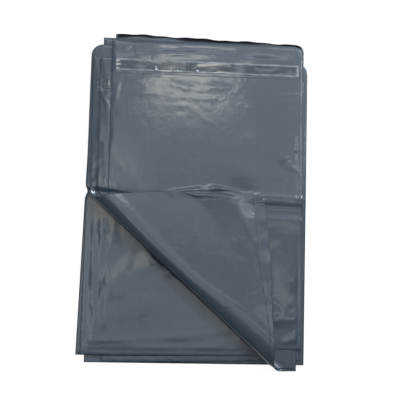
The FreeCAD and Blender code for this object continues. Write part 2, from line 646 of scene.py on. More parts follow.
@dataclass(frozen=True)
class BlownFilm(Finish):
    """Semi-gloss blown LDPE film, pigmented grey.

    Blowing leaves faint die lines along the tube, a soft mottle of thicker and thinner film, and an
    orange-peel too fine to see but for the way it breaks up a reflection.
    """

    name: str = "blown_ldpe_film"
    ior: float = 1.6
    colour: str = "#404d58"
    thin_colour: str = "#4a5863"
    # the weld's scorch, and painted shade along the edges where the layers lie on each other
    weld_and_shade_colour: str = "#12171c"
    roughness: Pair = (0.12, 0.22)  # from the thick patches to the thin ones
    shine: Pair = (0.5, 0.05)  # from the open film to the charred weld and the painted edge shade
    mottle: float = 38.0  # mm between thick and thin patches
    die_line: float = 2.6  # mm between die lines, drawn coarser than the real 0.5
    die_stretch: float = 0.03  # a die line's width over its length
    peel: float = 1.6  # mm between orange-peel dimples, drawn coarser than the real 0.3
    peel_depth: float = 0.05
    pucker: float = 16.0  # mm between the shallow puckers of slack film
    pucker_depth: float = 0.9
    strength: Pair = (0.35, 0.3)  # of the puckers and of the peel

    def inputs(self, tree: bpy.types.NodeTree, place: bpy.types.NodeSocket) -> dict:
        """The grey of the film, darkened by the weld attribute as weld scorch and as painted shade, and its fine
        relief.

        Args:
            tree: The material's node tree.
            place: The Object coordinates.

        Returns:
            The shader's inputs by name.
        """
        noise, ramp, bump = "ShaderNodeTexNoise", "ShaderNodeMapRange", "ShaderNodeBump"
        mottle = add_node(tree, noise, {"Vector": place, "Scale": 1 / (self.mottle * MM), "Detail": 3.0})
        stretch = (1.0, self.die_stretch, 1.0)
        drawn = add_node(tree, "ShaderNodeMapping", {"Vector": place, "Scale": stretch})
        lines = {"Vector": drawn, "Scale": 1 / (self.die_line * MM), "Detail": 2.0}
        lines = add_node(tree, noise, lines)
        patches = add_node(tree, "ShaderNodeMath", {0: mottle, 1: lines}, operation="MULTIPLY")
        mix = {"Factor": patches, "A": linear_rgb(self.colour), "B": linear_rgb(self.thin_colour)}
        base = add_node(tree, "ShaderNodeMix", mix, data_type="RGBA")
        weld = add_node(tree, "ShaderNodeAttribute", attribute_name="weld").outputs["Fac"]
        # painted shade: the weld attribute darkens the edges for the shadow between the layers as well as for the
        # weld's scorch
        mix = {"Factor": weld, "A": base, "B": linear_rgb(self.weld_and_shade_colour)}
        low, high = self.shine
        shine = add_node(tree, ramp, {"Value": weld, "To Min": low, "To Max": high})
        low, high = self.roughness
        rough = add_node(tree, ramp, {"Value": mottle, "To Min": low, "To Max": high})
        peel = add_node(tree, noise, {"Vector": place, "Scale": 1 / (self.peel * MM), "Detail": 1.0})
        pucker = {"Vector": place, "Scale": 1 / (self.pucker * MM), "Detail": 2.0, "Distortion": 0.6}
        pucker = add_node(tree, noise, pucker)
        depth = self.pucker_depth * MM
        coarse = add_node(tree, bump, {"Strength": self.strength[0], "Distance": depth, "Height": pucker})
        fine = {"Strength": self.strength[1], "Distance": self.peel_depth * MM}
        fine |= {"Height": peel, "Normal": coarse}
        return {
            "Base Color": add_node(tree, "ShaderNodeMix", mix, data_type="RGBA"),
            "Specular IOR Level": shine,
            "Roughness": rough,
            "Normal": add_node(tree, bump, fine),
        }


@dataclass(frozen=True)
class ReleaseFilm(Finish):
    """Glossy siliconised release film: clearer where it is stuck down, and pale where it stands off, partly as its
    haze and partly as a painted highlight.
    """

    name: str = "siliconised_release_film"
    ior: float = 1.6
    stuck_colour: str = "#303c46"
    # pale: the haze of film standing off, and a painted highlight on the liner's rim and its blisters
    haze_and_highlight_colour: str = "#c9d1d7"
    roughness: float = 0.1
    haze: float = 6.0  # mm between the uneven patches of adhesion
    haze_stretch: float = 0.35  # a patch's width over its length, along the strip
    haze_depth: float = 0.2
    strength: float = 0.3
    hazy: Pair = (0.36, 0.52)  # the haze's values from least to full adhesion
    least_grip: float = 0.86

    def inputs(self, tree: bpy.types.NodeTree, place: bpy.types.NodeSocket) -> dict:
        """Pale haze and painted highlight, which clear where the attribute says that the liner is stuck down.

        Args:
            tree: The material's node tree.
            place: The Object coordinates.

        Returns:
            The shader's inputs by name.
        """
        stretch = (self.haze_stretch, 1.0, 1.0)
        drawn = add_node(tree, "ShaderNodeMapping", {"Vector": place, "Scale": stretch})
        haze = {"Vector": drawn, "Scale": 1 / (self.haze * MM), "Detail": 4.0}
        haze = add_node(tree, "ShaderNodeTexNoise", haze)
        clear_of_haze_and_highlight = add_node(tree, "ShaderNodeAttribute", attribute_name="clear_of_haze_and_highlight").outputs["Fac"]
        low, high = self.hazy
        uneven = {"Value": haze, "From Min": low, "From Max": high, "To Min": self.least_grip}
        uneven = add_node(tree, "ShaderNodeMapRange", uneven)
        held = add_node(tree, "ShaderNodeMath", {0: clear_of_haze_and_highlight, 1: uneven}, operation="MULTIPLY")
        mix = {"Factor": held, "A": linear_rgb(self.haze_and_highlight_colour), "B": linear_rgb(self.stuck_colour)}
        ripple = {"Strength": self.strength, "Distance": self.haze_depth * MM, "Height": haze}
        return {
            "Base Color": add_node(tree, "ShaderNodeMix", mix, data_type="RGBA"),
            "Roughness": self.roughness,
            "Normal": add_node(tree, "ShaderNodeBump", ripple),
        }


@dataclass(frozen=True)
class HotMelt(Finish):
    """A hot-melt adhesive band, coated on and left tacky, with faint coating streaks."""

    name: str = "hot_melt_adhesive"
    ior: float = 1.48
    colour: str = "#5b6067"
    streak_colour: str = "#6c7178"
    roughness: float = 0.5
    streak: float = 1.5  # mm between coating streaks
    streak_stretch: float = 0.05  # a streak's width over its length
    streak_depth: float = 0.05
    strength: float = 0.4

    def inputs(self, tree: bpy.types.NodeTree, place: bpy.types.NodeSocket) -> dict:
        """Streaks along the band, in its colour and its relief.

        Args:
            tree: The material's node tree.
            place: The Object coordinates.

        Returns:
            The shader's inputs by name.
        """
        stretch = (self.streak_stretch, 1.0, 1.0)
        drawn = add_node(tree, "ShaderNodeMapping", {"Vector": place, "Scale": stretch})
        streaks = {"Vector": drawn, "Scale": 1 / (self.streak * MM), "Detail": 2.0}
        streaks = add_node(tree, "ShaderNodeTexNoise", streaks)
        mix = {"Factor": streaks, "A": linear_rgb(self.colour), "B": linear_rgb(self.streak_colour)}
        bump = {"Strength": self.strength, "Distance": self.streak_depth * MM, "Height": streaks}
        return {
            "Base Color": add_node(tree, "ShaderNodeMix", mix, data_type="RGBA"),
            "Roughness": self.roughness,
            "Normal": add_node(tree, "ShaderNodeBump", bump),
        }


@dataclass
class Finishes:
    """The pack's materials, each built once."""

    film: bpy.types.Material
    liner: bpy.types.Material
    adhesive: bpy.types.Material

    @classmethod
    def build(cls) -> "Finishes":
        """Builds every finish."""
        return cls(BlownFilm().build(), ReleaseFilm().build(), HotMelt().build())

    def dress(self, piece: bpy.types.Object, slot: str) -> None:
        """Gives a piece the finish of one of the record's material slots.

        Args:
            piece: The piece.
            slot: film, liner or adhesive.
        """
        piece.data.materials.append(getattr(self, slot))
        LOG.info("%s, in %s", piece.name, slot)


# --------------------------------------------------------------------------------------------
# The weld bead, made with Geometry Nodes
# --------------------------------------------------------------------------------------------


@dataclass(frozen=True)
class WeldBead:
    """The bead that a hot knife leaves along a welded edge, with a row of small nibs on it."""

    radius: float = 0.16
    nib_radius: float = 0.3
    nib_pitch: float = 4.0

    def tree(self, material: bpy.types.Material) -> bpy.types.NodeTree:
        """The node tree: a line of edges in, a bead with its nibs out.

        Args:
            material: What the bead is made of.

        Returns:
            The tree, with its sizes as named inputs in metres.
        """
        tree = bpy.data.node_groups.new("weld_bead", "GeometryNodeTree")
        face = tree.interface
        face.new_socket("Edges", in_out="INPUT", socket_type="NodeSocketGeometry")
        face.new_socket("Bead", in_out="OUTPUT", socket_type="NodeSocketGeometry")
        for name in ("Bead Radius", "Nib Radius", "Nib Pitch"):
            face.new_socket(name, in_out="INPUT", socket_type="NodeSocketFloat")
        given = add_node(tree, "NodeGroupInput").outputs
        line = add_node(tree, "GeometryNodeMeshToCurve", {"Mesh": given["Edges"]})
        ring = {"Resolution": 6, "Radius": given["Bead Radius"]}
        ring = add_node(tree, "GeometryNodeCurvePrimitiveCircle", ring)
        bead = {"Curve": line, "Profile Curve": ring, "Fill Caps": True}
        points = {"Curve": line, "Length": given["Nib Pitch"]}
        points = add_node(tree, "GeometryNodeCurveToPoints", points, mode="LENGTH")
        nib = {"Radius": given["Nib Radius"], "Subdivisions": 1}
        nib = add_node(tree, "GeometryNodeMeshIcoSphere", nib)
        both = add_node(tree, "GeometryNodeJoinGeometry")
        for part in (
            add_node(tree, "GeometryNodeCurveToMesh", bead),
            add_node(tree, "GeometryNodeInstanceOnPoints", {"Points": points, "Instance": nib}),
        ):
            connect(tree, both, {"Geometry": part})
        real = add_node(tree, "GeometryNodeRealizeInstances", {"Geometry": both})
        dressed = {"Geometry": real, "Material": material}
        dressed = add_node(tree, "GeometryNodeSetMaterial", dressed)
        add_node(tree, "NodeGroupOutput", {"Bead": dressed})
        return tree

    def along(self, name: str, lines: list[Array], tree: bpy.types.NodeTree) -> bpy.types.Object:
        """Runs the bead along one or more lines.

        Args:
            name: The piece's name.
            lines: Each line's points, in millimetres.
            tree: The tree from this class's tree method.

        Returns:
            The bead as a plain mesh object.
        """
        mesh = bpy.data.meshes.new(name)
        points = np.concatenate(lines) * MM
        edges, start = [], 0
        for line in lines:
            edges += [(start + i, start + i + 1) for i in range(len(line) - 1)]
            start += len(line)
        mesh.from_pydata(points.tolist(), edges, [])
        piece = linked(name, mesh)
        modifier = piece.modifiers.new("bead", "NODES")
        modifier.node_group = tree
        sizes = {"Bead Radius": self.radius, "Nib Radius": self.nib_radius}
        sizes["Nib Pitch"] = self.nib_pitch
        for item in tree.interface.items_tree:
            if item.item_type == "SOCKET" and item.name in sizes:
                modifier[item.identifier] = sizes[item.name] * MM
        graph = bpy.context.evaluated_depsgraph_get()
        graph.update()
        solid = bpy.data.meshes.new_from_object(piece.evaluated_get(graph))
        piece.modifiers.clear()
        piece.data = solid
        solid.name = name
        return piece


# --------------------------------------------------------------------------------------------
# The bags
# --------------------------------------------------------------------------------------------


@dataclass
class FoldLine:
    """The diagonal roll that turns the corner over, and what lies beyond it.

    The roll is round below and outside and spread towards the pack in its upper half, more so near
    its low end, where it opens like a cone. Past its crest the films come down in a soft drop.
    """

    origin: Pair
    along: Pair
    axis_height: float
    spread: float = 8.0
    wrap: float = math.pi
    tight: float = 4.5  # the spread that is missing at the high end, where the roll is tight
    cone: float = 11.0  # the spread that is added towards the low end
    cone_span: Pair = (-5.0, 90.0)  # where along the roll it is added
    cone_reach: float = 80.0  # how far past the roll the cone dies out
    drop: float = 0.55
    drop_length: float = 8.0
    drop_end: Pair = (30.0, 80.0)  # where past the roll it starts to die out, and over what
    settle: float = 45.0  # how far past the roll the corner comes down on the pack's relief
    level_off: float = 0.9  # the share of the roll's turn in which the relief below dies out
    MEASURED: ClassVar[int] = 181  # the points at which the roll's length is measured

    def to_fold(self, x: Array, y: Array) -> Arrays:
        """Plan coordinates as the fold's own u, v.

        Args:
            x: The points' X.
            y: The points' Y.

        Returns:
            Each point's u and v.
        """
        ox, oy = x - self.origin[0], y - self.origin[1]
        ax, ay = self.along
        return ox * ay - oy * ax, ox * ax + oy * ay

    def to_plan(self, u: Array, v: Array) -> Arrays:
        """The fold's u, v as plan coordinates."""
        ax, ay = self.along
        return self.origin[0] + u * ay + v * ax, self.origin[1] - u * ax + v * ay

    def spread_share(self, angle: Array) -> Array:
        """How much of the spread there is once a film has turned by each angle."""
        past = np.maximum(np.sin(angle), 0.0)
        return np.where(angle > math.pi / 2, 1 - past, 0.0)

    def rolled_length(self, neutral: float, angle: Array) -> Array:
        """The length of film in the roll up to each angle.

        Args:
            neutral: The radius at which the bag keeps its length.
            angle: How far the film has turned, in radians.

        Returns:
            Lengths in millimetres.
        """
        line = np.linspace(0.0, self.wrap, self.MEASURED)
        across = neutral * np.sin(line) - self.spread * self.spread_share(line)
        steps = np.hypot(np.diff(across), np.diff(neutral * np.cos(line)))
        return np.interp(angle, line, np.concatenate([[0.0], np.cumsum(steps)]))

    def wrapped(self, angle: Array, beyond: Array, v: Array, height: Array) -> Array:
        """Where a point of the flat bag goes when the corner is turned over.

        Args:
            angle: How far each point has turned round the roll.
            beyond: How far it lies past the roll, along the film.
            v: Its place along the fold.
            height: Its height in the flat bag.

        Returns:
            Points in the pack's frame, with one more axis than angle.
        """
        radius = self.axis_height - height
        start, end = self.cone_span
        cone = self.cone * smooth((v - start) / (end - start)) - self.tight
        cone = cone * (1 - smooth(beyond / self.cone_reach))
        across = radius * np.sin(angle) - (self.spread + cone) * self.spread_share(angle)
        across = across + beyond * math.cos(self.wrap)
        z = self.axis_height - radius * np.cos(angle) + beyond * math.sin(self.wrap)
        start, over = self.drop_end
        fallen = smooth(beyond / self.drop_length) * (1 - smooth((beyond - start) / over))
        z = z - self.drop * fallen
        x, y = self.to_plan(across, v)
        return np.stack([x, y, z], -1)


@dataclass
class Bag:
    """One bag of the pack, made as its films, its adhesive, its liner and its weld bead."""

    number: int
    centre: Pair
    turn: float
    level: float
    body: str
    size: BagSize
    relief: Relief
    grid: float
    soft_corner: tuple[LipCorner, float] | None = None  # which lip corner is round, and its radius
    lip_shade_band: float = 0.0  # how wide a band at the lip's free edge is painted dark as shade, with its edge drawn in wavy
    cling: float = 0.25  # how far the bag's edges come down towards the bag below
    scorch_and_shade: float = 1.0  # how dark its edges are painted: the weld's scorch and the shade between the layers
    strip_grid: float = 1.0
    rim_haze_and_highlight: float = 0.3  # how pale the liner's rim is, partly hazy and partly a painted highlight; the bags on top press it flat
    RIM: ClassVar[Array] = np.array([0.0, 0.8, 1.8])  # a film's first columns and rows
    RIM_END: ClassVar[float] = 3.6  # where the even grid takes over from them
    LIP_BAND_ROWS: ClassVar[Pair] = (12.0, 0.8)  # the rows of a lip with a painted shade band: reach, step
    CREASE_ROWS: ClassVar[Pair] = (26.0, 1.25)  # the crease's: reach each way, step
    CREASE_INSET: ClassVar[float] = 6.0  # how far they stay from a film's ends
    LEAST_ROW: ClassVar[float] = 0.6
    WELD_WIDTH: ClassVar[float] = 1.2
    WELD_STEP: ClassVar[float] = 4.0  # between the points of the bead's lines
    RIM_GRIP: ClassVar[Pair] = (0.7, 1.1)  # the liner's: where in from its edge, over what
    END_GRIP: ClassVar[Pair] = (1.0, 3.0)
    LIFTED: ClassVar[Pair] = (0.45, 0.35)  # a ripple's height where its grip goes and its painted glint comes, over what
    CLUNG_REACH: ClassVar[float] = 3.0  # how far in from its edges a bag clings
    LIP_FADE: ClassVar[float] = 60.0  # how far below the mouth the back film starts to wrinkle too

    def name(self, piece: str) -> str:
        """The name of one of this bag's nodes or pieces."""
        return f"bag_{self.number:02d}_{piece}"

    def to_plan(self, x: Array, y: Array) -> Arrays:
        """The bag's own coordinates as the pack's plan."""
        c, s = math.cos(self.turn), math.sin(self.turn)
        return self.centre[0] + c * x - s * y, self.centre[1] + s * x + c * y

    def inside_weld(self, x: Array, y: Array) -> Array:
        """How far each point lies inside the nearest welded edge."""
        return np.minimum(self.size.width / 2 - np.abs(x), y + self.size.length / 2)

    def pocket_share(self, x: Array, y: Array) -> Array:
        """0 on the welded margins, 1 where the front film stands off the back film."""
        return smooth((self.inside_weld(x, y) - self.size.seal) / self.size.ramp)

    def weld_and_shade_mark(self, x: Array, y: Array) -> Array:
        """1 on the welded edges, painted dark as weld scorch and as shade, and on the lip's band of painted shade,
        and 0 a little way inside them.

        Args:
            x: The points' X.
            y: The points' Y.

        Returns:
            A share for each point.
        """
        # the knife melts more and less film along an edge, and differently on each bag
        phase = 2.1 * self.number
        beads = np.sin(y / 1.9 + phase) * np.sin(y / 5.3 + 2 * phase) + np.sin(x / 3.1)
        uneven = 0.3 + 0.7 * smooth(0.5 + 0.6 * beads)
        # painted shade: the edges are darkened for the shadow between the stacked layers, on top of the weld's
        # scorch
        weld = self.scorch_and_shade * (1 - smooth(self.inside_weld(x, y) / self.WELD_WIDTH)) * uneven
        if not self.lip_shade_band:
            return weld
        # painted shade: a dark wavy band along the lip's free edge, where it lies in shadow under the lips above
        to_free_edge = self.size.length / 2 - y
        waves = 1 + 0.35 * np.sin(x / 23.0 + 1.5) + 0.15 * np.sin(x / 7.0)
        ends = smooth((self.size.width / 2 + x) / 4.0)
        return np.maximum(weld, ends * (1 - smooth(to_free_edge / (self.lip_shade_band * waves) - 0.7)))

    def height(self, layer: Layer, x: Array, y: Array) -> Array:
        """The underside of a film over points of the bag's own frame.

        The bag's own wrinkles lift its front film, and near the mouth both films and the lip.

        Args:
            layer: Which film.
            x: The points' X in the bag's frame.
            y: The points' Y in the bag's frame.

        Returns:
            Heights in millimetres.
        """
        px, py = self.to_plan(x, y)
        half_width, half_length = self.size.width / 2, self.size.length / 2
        inside = np.minimum(half_width - np.abs(x), half_length - np.abs(y))
        clung = self.cling * (1 - smooth(inside / self.CLUNG_REACH)) if self.number > 1 else 0.0
        own = self.relief.own(self.number, px, py)
        with_lip = smooth((y - self.size.mouth) / self.LIP_FADE + 1)
        height = self.relief.under(self.number, px, py) - clung + with_lip * own
        if layer is Layer.FRONT:
            rise = self.size.pocket + (1 - with_lip) * own
            height = height + self.size.film + self.pocket_share(x, y) * rise
        return height

    def rows(self, low: float, high: float) -> Array:
        """Y values for a film's rows, closer together at its ends and across the pack's crease.

        Args:
            low: The lowest Y.
            high: The highest Y.

        Returns:
            Each row's Y, in order.
        """
        crease = self.relief.crease.middle - self.centre[1]
        reach, step = self.CREASE_ROWS
        span = np.arange(crease - reach, crease + reach, step)
        span = span[(span > low + self.CREASE_INSET) & (span < high - self.CREASE_INSET)]
        top, last = high - self.RIM[::-1], self.RIM_END
        if self.lip_shade_band > 0 and high > self.size.mouth:
            last, step = self.LIP_BAND_ROWS
            top = np.append(high - last + np.arange(1, round(last / step)) * step, high)
        even = spaced(low + self.RIM_END, high - last, self.grid)
        if len(span):
            before, after = even < span[0] - self.LEAST_ROW, even > span[-1] + self.LEAST_ROW
            even = even[before | after]
        return np.sort(np.concatenate([low + self.RIM, even, span, top]))

    def left_edge(self, y: Array) -> Array:
        """The X at which the flat film starts in each row."""
        return np.full_like(y, -self.size.width / 2)

    def grid_points(self, low: float, high: float) -> Arrays:
        """A film's grid in the bag's frame, from one Y to another.

        Args:
            low: The lowest Y.
            high: The highest Y.

        Returns:
            X and Y, each rows by columns.
        """
        y = self.rows(low, high)
        left = self.left_edge(y)
        rim = self.RIM / self.size.width
        inner = spaced(self.RIM_END, self.size.width - self.RIM_END, self.grid) / self.size.width
        share = np.concatenate([rim, inner, 1 - rim[::-1]])
        x = left[:, None] + (self.size.width / 2 - left[:, None]) * share[None, :]
        return x, np.repeat(y[:, None], len(share), 1)

    def rounded(self, x: Array, y: Array) -> Arrays:
        """Points moved so that the lip's soft corner is round and the edge of a lip painted with a shade band is
        wavy.

        Args:
            x: X in the bag's frame.
            y: Y in the bag's frame.

        Returns:
            The moved X and Y.
        """
        if self.soft_corner:
            side, radius = self.soft_corner[0].value, self.soft_corner[1]
            p = np.clip((side * x - self.size.width / 2 + radius) / radius, 0, 1)
            q = np.clip((y - self.size.length / 2 + radius) / radius, 0, 1)
            x = x - side * radius * p * (1 - np.sqrt(1 - q * q / 2))
            y = y - radius * q * (1 - np.sqrt(1 - p * p / 2))
        if self.lip_shade_band:
            at_edge = 1 - smooth((self.size.length / 2 - y) / self.lip_shade_band)
            y = y - at_edge * (0.9 + 0.6 * np.sin(x / 11.0) + 0.4 * np.sin(x / 4.3))
        return x, y

    def placed(self, x: Array, y: Array, z: Array) -> Array:
        """Points of the bag's frame at heights z, in the pack's frame, drawn in at the crease."""
        px, py = self.to_plan(x, y)
        return np.stack([self.relief.crease.pinched(px, py), py, z], -1)

    def film(self, layer: Layer, low: float, high: float, name: str) -> bpy.types.Object:
        """One film, or a stretch of it, as a closed piece.

        Args:
            layer: Which film.
            low: The stretch's lowest Y in the bag's frame.
            high: Its highest Y.
            name: The piece's name.

        Returns:
            The piece.
        """
        x, y = self.grid_points(low, high)
        under = self.height(layer, x, y)
        weld = self.weld_and_shade_mark(x, y)
        rx, ry = self.rounded(x, y) if layer is Layer.BACK else (x, y)
        lower = self.placed(rx, ry, under)
        upper = self.placed(rx, ry, under + self.size.film)
        return closed_film(name, upper, lower, {"weld": weld})

    def strip(self, name: str, width: float, lift: float, thickness: float) -> bpy.types.Object:
        """A band across the lip, lying on its film or on the adhesive.

        Past the adhesive, a wider band's long edges come down to the film.

        Args:
            name: The piece's name.
            width: The band's width.
            lift: Its underside's height over the film.
            thickness: Its thickness.

        Returns:
            The piece.
        """
        half, middle = width / 2, self.size.strip_middle
        across = spaced(-half, half, self.strip_grid)
        reach = self.size.width / 2 - self.size.strip_inset
        x = np.repeat(spaced(-reach, reach, self.strip_grid)[None, :], len(across), 0)
        y = np.repeat((middle + across)[:, None], x.shape[1], 1)
        stuck = self.size.adhesive_width / 2
        off = np.abs(y - middle)
        # a wider strip comes down past the adhesive and may ripple
        drop = lift * smooth((off - stuck) / (half - stuck)) if half > stuck else 0.0
        ripple = self.liner_ripple(x, y) if half > stuck else np.zeros_like(x)
        # it lets go in patches along its rim and its ends, and wholly on a ripple; there it is painted pale,
        # partly as haze and partly as a painted highlight or glint
        inside, over = self.RIM_GRIP
        clear_of_haze_and_highlight = 1 - smooth((off - stuck + inside) / over)
        inside, over = self.END_GRIP
        clear_of_haze_and_highlight = clear_of_haze_and_highlight * smooth((reach - np.abs(x) - inside) / over)
        patchy = 0.34 + 0.16 * np.sin(x / 3.7) * np.sin(x / 9.1 + y)
        clear_of_haze_and_highlight = 1 - self.rim_haze_and_highlight * (1 - clear_of_haze_and_highlight) * patchy
        height, over = self.LIFTED
        clear_of_haze_and_highlight = clear_of_haze_and_highlight * (1 - smooth((ripple - height) / over))
        base = self.height(Layer.BACK, x, y) + self.size.film
        under = base + lift - drop + ripple
        lower = self.placed(x, y, under)
        upper = self.placed(x, y, under + thickness)
        return closed_film(name, upper, lower, {"clear_of_haze_and_highlight": clear_of_haze_and_highlight})

    def liner_ripple(self, x: Array, y: Array) -> Array:
        """The liner's own ripples over the adhesive; none on a bag that others lie on."""
        return np.zeros_like(x)

    def weld_lines(self) -> list[Array]:
        """The lines that the weld bead follows: the right edge, and the left one down to a fold.

        Returns:
            Each line's points, in the pack's frame.
        """
        half = self.size.width / 2
        right = spaced(-self.size.length / 2, self.size.mouth, self.WELD_STEP)
        left = right[self.left_edge(right) <= -half + 0.01]
        lines = []
        for side, y in ((-half, left), (half, right)):
            x = np.full_like(y, side)
            clear = np.maximum(self.height(Layer.FRONT, x, y), WeldBead.nib_radius)
            lines.append(self.placed(x, y, clear))
        return lines

    def films(self) -> dict[str, bpy.types.Object]:
        """Builds both films, keyed by the CAD node that each stands for.

        Returns:
            The back film and the front film, by node.
        """
        low, high = -self.size.length / 2, self.size.length / 2
        back = self.film(Layer.BACK, low, high, self.name("back"))
        front = self.film(Layer.FRONT, low, self.size.mouth, self.name("front"))
        return {"back_film": back, "front_film": front}

    def flat_area(self, length: float) -> float | None:
        """The cut area of a film that reaches from the bottom edge up by length."""
        return None

    def hold(self, piece: bpy.types.Object, node: str) -> None:
        """Hides the CAD node that a film stands for, and puts the film on the body that it rides on."""
        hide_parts(self.name(node))
        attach(piece, self.body)

    def strip_bodies(self) -> dict[str, str]:
        """The bodies that the adhesive band and the liner ride on."""
        return {"adhesive": self.body, "liner": self.body}

    def build(self, finishes: Finishes, bead: WeldBead, tree: bpy.types.NodeTree) -> None:
        """Builds and dresses every piece of the bag.

        Args:
            finishes: The pack's materials.
            bead: The weld bead's sizes.
            tree: The weld bead's node tree.
        """
        size = self.size
        for node, piece in self.films().items():
            finishes.dress(piece, "film")
            self.hold(piece, node)
            length = size.length if node == "back_film" else size.body
            self.flat_area(length)
        for slot, name, width, lift, film in (
            ("adhesive", "glue", size.adhesive_width, 0.0, size.adhesive_film),
            ("liner", "release_strip", size.liner_width, size.adhesive_film, size.liner_film),
        ):
            piece = self.strip(self.name(name), width, lift, film)
            finishes.dress(piece, slot)
            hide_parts(self.name(slot))
            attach(piece, self.strip_bodies()[slot])
        piece = bead.along(self.name("weld"), self.weld_lines(), tree)
        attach(piece, self.body)
        LOG.info("%s, along bag %02d at level %.1f mm", piece.name, self.number, self.level)


@dataclass
class FoldedBag(Bag):
    """A bag whose near left corner is folded over: its flat part, its roll and its corner."""

    fold: FoldLine | None = None
    corner_body: str = "folded_corner"
    inner: tuple["FoldedBag", ...] = ()  # the bags above it, whose rolls lie inside its own
    corner_wrinkles: tuple[Wrinkle, ...] = ()
    slip: float = 0.0  # how far a tighter roll lets the corner reach on to the right
    DRAWN_UP: ClassVar[float] = 8.0  # how far the corner's upper edge is drawn towards the lips
    DRAWN_FROM: ClassVar[float] = 90.0  # how far left of the middle it is drawn the whole way
    DRAWN_OVER: ClassVar[float] = 150.0  # how far right of there it takes to be drawn no more
    UPPER_PART: ClassVar[float] = 60.0  # how far before the pack's middle the drawn part begins
    SLIP_OVER: ClassVar[float] = 90.0  # how far past the roll the whole slip is reached
    SLIP_SINK: ClassVar[float] = 0.6  # the share of the corner's slope that a slip follows down
    WRINKLED_FROM: ClassVar[float] = 12.0  # how far past the roll wrinkles have their full height
    ALONG_EDGE: ClassVar[float] = 100.0  # to a second point on an edge, which gives its line
    ROLL_ROWS: ClassVar[int] = 41
    CORNER_ROW: ClassVar[float] = 2.0  # between rows past the roll
    CORNER_COLUMN: ClassVar[float] = 2.2  # a column's width at the fold line
    TIP: ClassVar[float] = 0.997  # the corner's last row, short of its point, keeps some width

    @property
    def neutral(self) -> float:
        """The roll's radius at the face where the bag's two films meet."""
        return self.fold.axis_height - self.level - self.size.film

    def corner_edges(self) -> tuple[Array, Array, Array]:
        """The folded corner's triangle in the flat bag.

        Returns:
            Its end on the left edge, its end on the bottom edge and its point, each as u, v.
        """
        left, low, step = -self.size.width / 2, -self.size.length / 2, self.ALONG_EDGE
        point = np.array(self.fold.to_fold(*self.to_plan(left, low)))
        ends = []
        for x, y in ((left, low + step), (left + step, low)):
            other = np.array(self.fold.to_fold(*self.to_plan(x, y)))
            share = point[0] / (point[0] - other[0])
            ends.append(point + (other - point) * share)
        return ends[0], ends[1], point

    def left_edge(self, y: Array) -> Array:
        """The X at which the flat film starts in each row: the left edge or the fold line.

        Args:
            y: The rows' Y.

        Returns:
            An X for each row.
        """
        half = self.size.width / 2
        u_left = self.fold.to_fold(*self.to_plan(np.full_like(y, -half), y))[0]
        u_right = self.fold.to_fold(*self.to_plan(np.full_like(y, half), y))[0]
        share = np.clip(u_left / (u_left - u_right), 0.0, 1.0)
        return -half + 2 * half * share

    def corner_area(self) -> float:
        """The area beyond the fold line, in square millimetres."""
        left, right, point = self.corner_edges()
        return abs(right[1] - left[1]) * point[0] / 2

    def flat_area(self, length: float) -> float:
        """The cut area of a film's flat part."""
        return self.size.width * length - self.corner_area()

    def corner_rise(self, x: Array, y: Array) -> Array:
        """What this bag's corner and those under it add to its height over the plan.

        Args:
            x: The points' X.
            y: The points' Y.

        Returns:
            A height in millimetres for each point.
        """
        bags = self.inner + (self,)
        return total_rise([wrinkle for bag in bags for wrinkle in bag.corner_wrinkles], x, y)

    def corner_grid(self) -> tuple[Array, Array, Array, Array]:
        """The grid of the folded-off part, in rows away from the fold line.

        Returns:
            Each point's u and v in the flat bag, the angle that it turns by and how far past the
            roll it comes to lie.
        """
        left, right, point = self.corner_edges()
        turn = np.linspace(0.0, self.fold.wrap, self.ROLL_ROWS)
        length = self.fold.rolled_length(self.neutral, turn)
        past = spaced(0.0, point[0] * self.TIP - length[-1], self.CORNER_ROW)[1:]
        angle = np.concatenate([turn, np.full_like(past, self.fold.wrap)])[:, None]
        beyond = np.concatenate([np.zeros_like(turn), past])[:, None]
        share = (np.concatenate([length, length[-1] + past]) / point[0])[:, None]
        across = spaced(0.0, 1.0, self.CORNER_COLUMN / abs(right[1] - left[1]))[None, :]
        v_left = left[1] + (point[1] - left[1]) * share
        v_right = right[1] + (point[1] - right[1]) * share
        v = v_left + (v_right - v_left) * across
        u, angle, beyond = (np.repeat(a, v.shape[1], 1) for a in (share * point[0], angle, beyond))
        return u, v, angle, beyond

    def turned(self, layer: Layer, name: str) -> bpy.types.Object:
        """The roll and the corner of one film, as a closed piece.

        Args:
            layer: Which film.
            name: The piece's name.

        Returns:
            The piece.
        """
        u, v, angle, beyond = self.corner_grid()
        bag_x, bag_y = in_frame(*self.fold.to_plan(u, v), self.centre, self.turn)
        at_fold = self.fold.to_plan(np.zeros_like(u), v)
        below = self.relief.under(self.number, *at_fold)
        fade = 1 - smooth(angle / self.fold.wrap / self.fold.level_off)
        height = self.level + (below - self.level) * fade
        if layer is Layer.FRONT:
            pocket = self.size.pocket + self.relief.own(self.number, *at_fold) * fade
            height = height + self.size.film + self.pocket_share(bag_x, bag_y) * pocket

